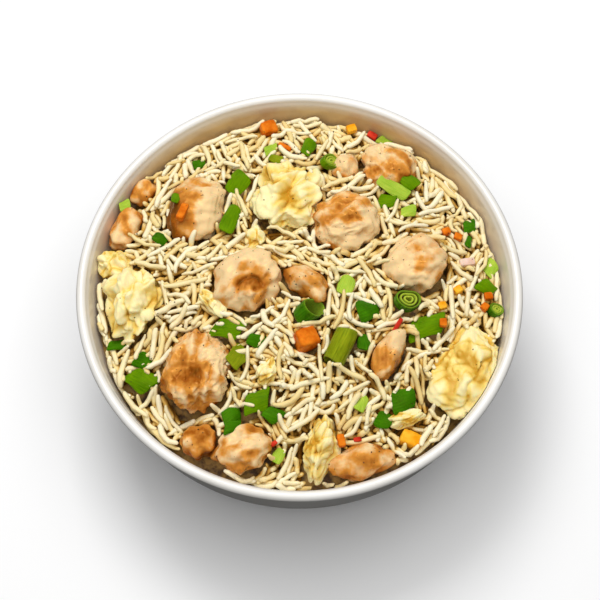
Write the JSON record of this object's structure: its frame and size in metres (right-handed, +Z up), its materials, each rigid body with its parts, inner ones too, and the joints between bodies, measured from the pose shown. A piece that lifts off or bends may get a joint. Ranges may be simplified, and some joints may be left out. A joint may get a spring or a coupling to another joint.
{
  "type": "bowl of fried rice",
  "caption": "Fried rice heaped in a plain white round bowl, topped with chicken, scrambled egg, spring onion and carrot.",
  "frame": {"origin": "centre of the underside of the bowl's foot ring, which the bowl stands on", "axes": "+Z up through the middle of the bowl, +Y away from the viewer, +X to the viewer's right"},
  "size_m": [0.165, 0.165, 0.0699],
  "materials": {
    "bowl": "glazed, smooth and glossy",
    "rice": "moist cooked grains, soft uneven gloss",
    "chicken": "cooked meat, lightly browned and moist",
    "egg": "soft scrambled curd, moist",
    "onion": "wet green stem, soft gloss",
    "carrot": "cooked dice, moist"
  },
  "bodies": {
    "root": {"bowl": "bowl", "carrot_01": "carrot", "carrot_02": "carrot", "chicken_01": "chicken", "chicken_02": "chicken", "chicken_03": "chicken", "chicken_04": "chicken", "chicken_05": "chicken", "chicken_06": "chicken", "chicken_07": "chicken", "chicken_08": "chicken", "chicken_09": "chicken", "chicken_10": "chicken", "chicken_11": "chicken", "chicken_12": "chicken", "chicken_13": "chicken", "chicken_14": "chicken", "egg_01": "egg", "egg_02": "egg", "egg_03": "egg", "egg_04": "egg", "egg_05": "egg", "onion_01": "onion", "onion_02": "onion", "onion_03": "onion", "onion_04": "onion", "onion_05": "onion", "onion_06": "onion", "onion_07": "onion", "onion_08": "onion", "rice": "rice"}
  },
  "joints": []
}
